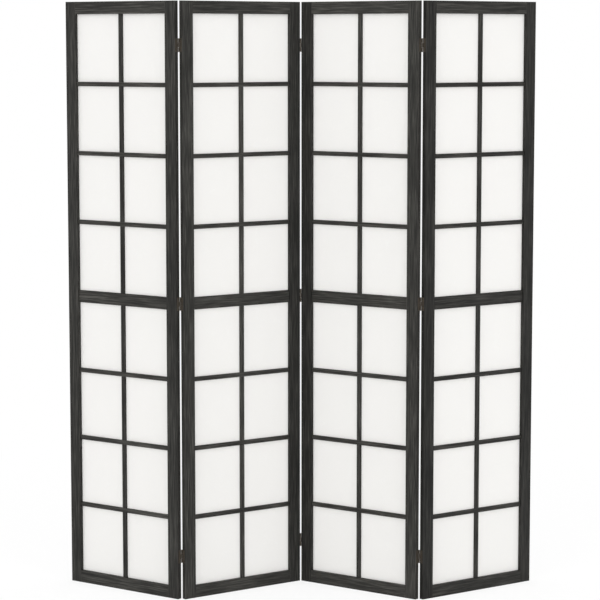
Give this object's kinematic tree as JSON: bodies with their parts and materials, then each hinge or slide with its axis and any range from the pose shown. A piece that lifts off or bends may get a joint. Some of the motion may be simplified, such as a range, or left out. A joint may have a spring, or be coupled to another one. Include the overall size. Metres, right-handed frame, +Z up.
{
  "type": "folding screen",
  "caption": "Free-standing shoji folding screen: black-stained wooden panels with half-lapped lattices over white paper, joined by butt hinges so that it stands in a zigzag and folds flat.",
  "frame": {"origin": "on the floor, below the middle of the standing screen's bounding box", "axes": "+Z up, +X along the screen to the right of someone facing its lattice side, +Y away from them, so the lattice side faces -Y"},
  "size_m": [1.3544, 0.2426, 1.7],
  "materials": {
    "black_wood": "black stain on brushed open grain, satin",
    "shoji_paper": "matt white fibrous paper, slightly translucent",
    "bronze_hinge": "dark bronze, satin, worn at the knuckles"
  },
  "bodies": {
    "panel_1": {"hinge_line_1_left_leaves": "bronze_hinge", "hinge_line_1_left_screws": "bronze_hinge", "panel_1_bottom_rail": "black_wood", "panel_1_end_stops": "black_wood", "panel_1_left_stile": "black_wood", "panel_1_lower_cross_bars": "black_wood", "panel_1_middle_rail": "black_wood", "panel_1_paper": "shoji_paper", "panel_1_right_stile": "black_wood", "panel_1_side_stops": "black_wood", "panel_1_top_rail": "black_wood", "panel_1_upper_cross_bars": "black_wood", "panel_1_upright_bar": "black_wood"},
    "panel_2": {"hinge_line_1_pins": "bronze_hinge", "hinge_line_1_right_leaves": "bronze_hinge", "hinge_line_1_right_screws": "bronze_hinge", "hinge_line_2_left_leaves": "bronze_hinge", "hinge_line_2_left_screws": "bronze_hinge", "hinge_line_2_pins": "bronze_hinge", "panel_2_bottom_rail": "black_wood", "panel_2_end_stops": "black_wood", "panel_2_left_stile": "black_wood", "panel_2_lower_cross_bars": "black_wood", "panel_2_middle_rail": "black_wood", "panel_2_paper": "shoji_paper", "panel_2_right_stile": "black_wood", "panel_2_side_stops": "black_wood", "panel_2_top_rail": "black_wood", "panel_2_upper_cross_bars": "black_wood", "panel_2_upright_bar": "black_wood"},
    "panel_3": {"hinge_line_2_right_leaves": "bronze_hinge", "hinge_line_2_right_screws": "bronze_hinge", "hinge_line_3_left_leaves": "bronze_hinge", "hinge_line_3_left_screws": "bronze_hinge", "hinge_line_3_pins": "bronze_hinge", "panel_3_bottom_rail": "black_wood", "panel_3_end_stops": "black_wood", "panel_3_left_stile": "black_wood", "panel_3_lower_cross_bars": "black_wood", "panel_3_middle_rail": "black_wood", "panel_3_paper": "shoji_paper", "panel_3_right_stile": "black_wood", "panel_3_side_stops": "black_wood", "panel_3_top_rail": "black_wood", "panel_3_upper_cross_bars": "black_wood", "panel_3_upright_bar": "black_wood"},
    "panel_4": {"hinge_line_3_right_leaves": "bronze_hinge", "hinge_line_3_right_screws": "bronze_hinge", "panel_4_bottom_rail": "black_wood", "panel_4_end_stops": "black_wood", "panel_4_left_stile": "black_wood", "panel_4_lower_cross_bars": "black_wood", "panel_4_middle_rail": "black_wood", "panel_4_paper": "shoji_paper", "panel_4_right_stile": "black_wood", "panel_4_side_stops": "black_wood", "panel_4_top_rail": "black_wood", "panel_4_upper_cross_bars": "black_wood", "panel_4_upright_bar": "black_wood"}
  },
  "joints": [
    {"name": "left_fold", "type": "hinge", "parent": "panel_2", "child": "panel_1", "pos_m": [-0.33964, -0.11013, 0], "axis": [0, 0, 1], "range_deg": [-109.6, 70.4]},
    {"name": "middle_fold", "type": "hinge", "parent": "panel_2", "child": "panel_3", "pos_m": [0, 0.11013, 0], "axis": [0, 0, 1], "range_deg": [-109.6, 70.4]},
    {"name": "right_fold", "type": "hinge", "parent": "panel_3", "child": "panel_4", "pos_m": [0.33964, -0.11013, 0], "axis": [0, 0, 1], "range_deg": [-70.4, 109.6]}
  ]
}
